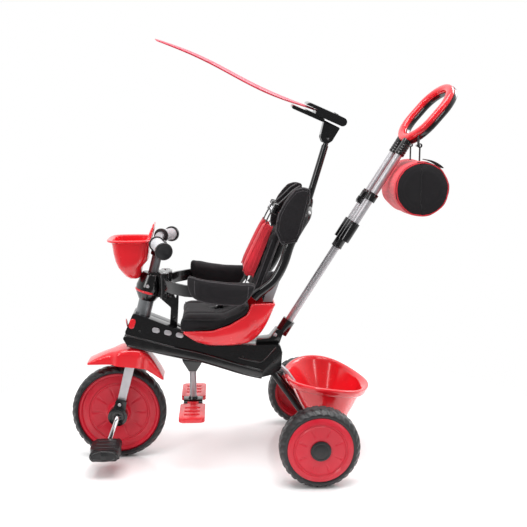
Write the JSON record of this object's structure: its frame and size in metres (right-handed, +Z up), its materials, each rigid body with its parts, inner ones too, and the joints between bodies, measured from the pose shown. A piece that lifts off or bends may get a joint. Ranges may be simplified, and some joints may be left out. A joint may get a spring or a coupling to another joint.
{
  "type": "child's push-along tricycle",
  "caption": "Pedal tricycle for a small child with a parent's push bar, tilting sun canopy, padded seat with guard ring, folding footplates, front and rear baskets and a hanging bag.",
  "frame": {"origin": "middle of the bounding box at floor level", "axes": "+X forward, +Y to the rider's left, +Z up"},
  "size_m": [1.0092, 0.51, 1.0984],
  "materials": {
    "black_gloss": "glossy",
    "black_matt": "matt",
    "tyre_black": "matt",
    "red_gloss": "glossy",
    "grey_plastic": "matt",
    "bush_white": "matt",
    "grip_grey": "matt",
    "steel_dark": "satin",
    "steel_grey": "satin",
    "steel_silver": "metallic",
    "chrome": "polished",
    "fabric_black": "woven",
    "fabric_red": "woven",
    "canopy_red": "sheer"
  },
  "bodies": {
    "frame": {"steel_frame": "steel_dark", "head_tube": "steel_grey", "head_bushes": "bush_white", "shell_left": "black_gloss", "shell_right": "black_gloss", "collar": "black_gloss", "crotch_post": "black_gloss", "seat_shell": "red_gloss", "back_panel": "grey_plastic", "back_frame": "steel_dark", "seat_cushion": "fabric_black", "back_cushion": "fabric_black", "headrest": "fabric_black", "harness_pads": "fabric_red", "canopy_post": "black_gloss", "footrest_bracket": "black_gloss", "footrest_tube": "steel_silver", "footrest_hub": "black_gloss", "bar_socket": "black_gloss", "rear_basket": "red_gloss", "basket_bracket": "grey_plastic", "rear_axle": "chrome", "frame_pins": "chrome"},
    "steering": {"steering_column": "steel_grey", "fork": "steel_silver", "fender": "red_gloss", "handlebar": "steel_silver", "grips": "grip_grey", "front_basket": "red_gloss", "dropout_clips": "black_gloss"},
    "front_wheel_set": {"front_tyre": "tyre_black", "front_wheel": "red_gloss", "crank_axle": "chrome"},
    "left_pedal": {"pedal_left": "black_matt"},
    "right_pedal": {"pedal_right": "black_matt"},
    "left_rear_wheel": {"rear_tyre_left": "tyre_black", "rear_wheel_left": "red_gloss", "rear_cap_left": "black_matt"},
    "right_rear_wheel": {"rear_tyre_right": "tyre_black", "rear_wheel_right": "red_gloss", "rear_cap_right": "black_matt"},
    "push_bar": {"lower_bar": "steel_silver", "bar_clamp": "black_gloss"},
    "push_handle": {"twin_tubes": "steel_silver", "coupler": "black_gloss", "handle_loop": "black_gloss", "handle_grip": "red_gloss"},
    "clamp_button": {"height_button": "black_matt"},
    "bag": {"bag_body": "fabric_red", "bag_straps": "fabric_black"},
    "canopy": {"canopy_bracket": "black_gloss", "canopy_hub": "black_gloss", "canopy_hoop": "black_matt", "canopy_fabric": "canopy_red"},
    "left_guard": {"guard_arm_left": "black_gloss", "guard_sleeve_left": "fabric_black"},
    "right_guard": {"guard_arm_right": "black_gloss", "guard_sleeve_right": "fabric_black"},
    "left_footplate": {"footplate_left": "red_gloss"},
    "right_footplate": {"footplate_right": "red_gloss"}
  },
  "joints": [
    {"name": "steering_turn", "type": "hinge", "parent": "frame", "child": "steering", "pos_m": [0.37965, 0, 0.125], "axis": [-0.2504, 0, 0.9681], "range_deg": [-38, 38]},
    {"name": "front_wheel_spin", "type": "hinge", "parent": "steering", "child": "front_wheel_set", "pos_m": [0.37965, 0, 0.125], "axis": [0, 1, 0], "continuous": true},
    {"name": "left_pedal_spin", "type": "hinge", "parent": "front_wheel_set", "child": "left_pedal", "pos_m": [0.40257, 0.12, 0.06204], "axis": [0, 1, 0], "continuous": true},
    {"name": "right_pedal_spin", "type": "hinge", "parent": "front_wheel_set", "child": "right_pedal", "pos_m": [0.35673, -0.12, 0.18796], "axis": [0, 1, 0], "continuous": true},
    {"name": "left_rear_wheel_spin", "type": "hinge", "parent": "frame", "child": "left_rear_wheel", "pos_m": [-0.13235, 0.218, 0.1], "axis": [0, 1, 0], "continuous": true},
    {"name": "right_rear_wheel_spin", "type": "hinge", "parent": "frame", "child": "right_rear_wheel", "pos_m": [-0.13235, -0.218, 0.1], "axis": [0, 1, 0], "continuous": true},
    {"name": "push_bar_turn", "type": "hinge", "parent": "frame", "child": "push_bar", "pos_m": [-0.05295, 0, 0.333], "axis": [-0.5329, 0, 0.8462], "range_deg": [-30, 12]},
    {"name": "handle_height", "type": "slide", "parent": "push_bar", "child": "push_handle", "axis": [-0.5329, 0, 0.8462], "range_m": [-0.04, 0.065]},
    {"name": "clamp_button_press", "type": "slide", "parent": "push_bar", "child": "clamp_button", "axis": [-0.8346, -0.165, -0.5256], "range_m": [0, 0.002], "stiffness_N_per_m": 800},
    {"name": "bag_swing", "type": "hinge", "parent": "push_handle", "child": "bag", "pos_m": [-0.39435, 0, 0.829], "axis": [0, 1, 0], "range_deg": [0, 60]},
    {"name": "canopy_tilt", "type": "hinge", "parent": "frame", "child": "canopy", "pos_m": [-0.17135, 0, 0.846], "axis": [0, 1, 0], "range_deg": [-40, 20]},
    {"name": "left_guard_open", "type": "hinge", "parent": "frame", "child": "left_guard", "pos_m": [0.25165, 0.034, 0.47], "axis": [0, 0, -1], "range_deg": [0, 50]},
    {"name": "right_guard_open", "type": "hinge", "parent": "frame", "child": "right_guard", "pos_m": [0.25165, -0.034, 0.47], "axis": [0, 0, 1], "range_deg": [0, 50]},
    {"name": "left_footplate_fold", "type": "hinge", "parent": "frame", "child": "left_footplate", "pos_m": [0.18265, 0.022, 0.146], "axis": [1, 0, 0], "range_deg": [0, 75]},
    {"name": "right_footplate_fold", "type": "hinge", "parent": "frame", "child": "right_footplate", "pos_m": [0.18265, -0.022, 0.146], "axis": [-1, 0, 0], "range_deg": [0, 75]}
  ]
}
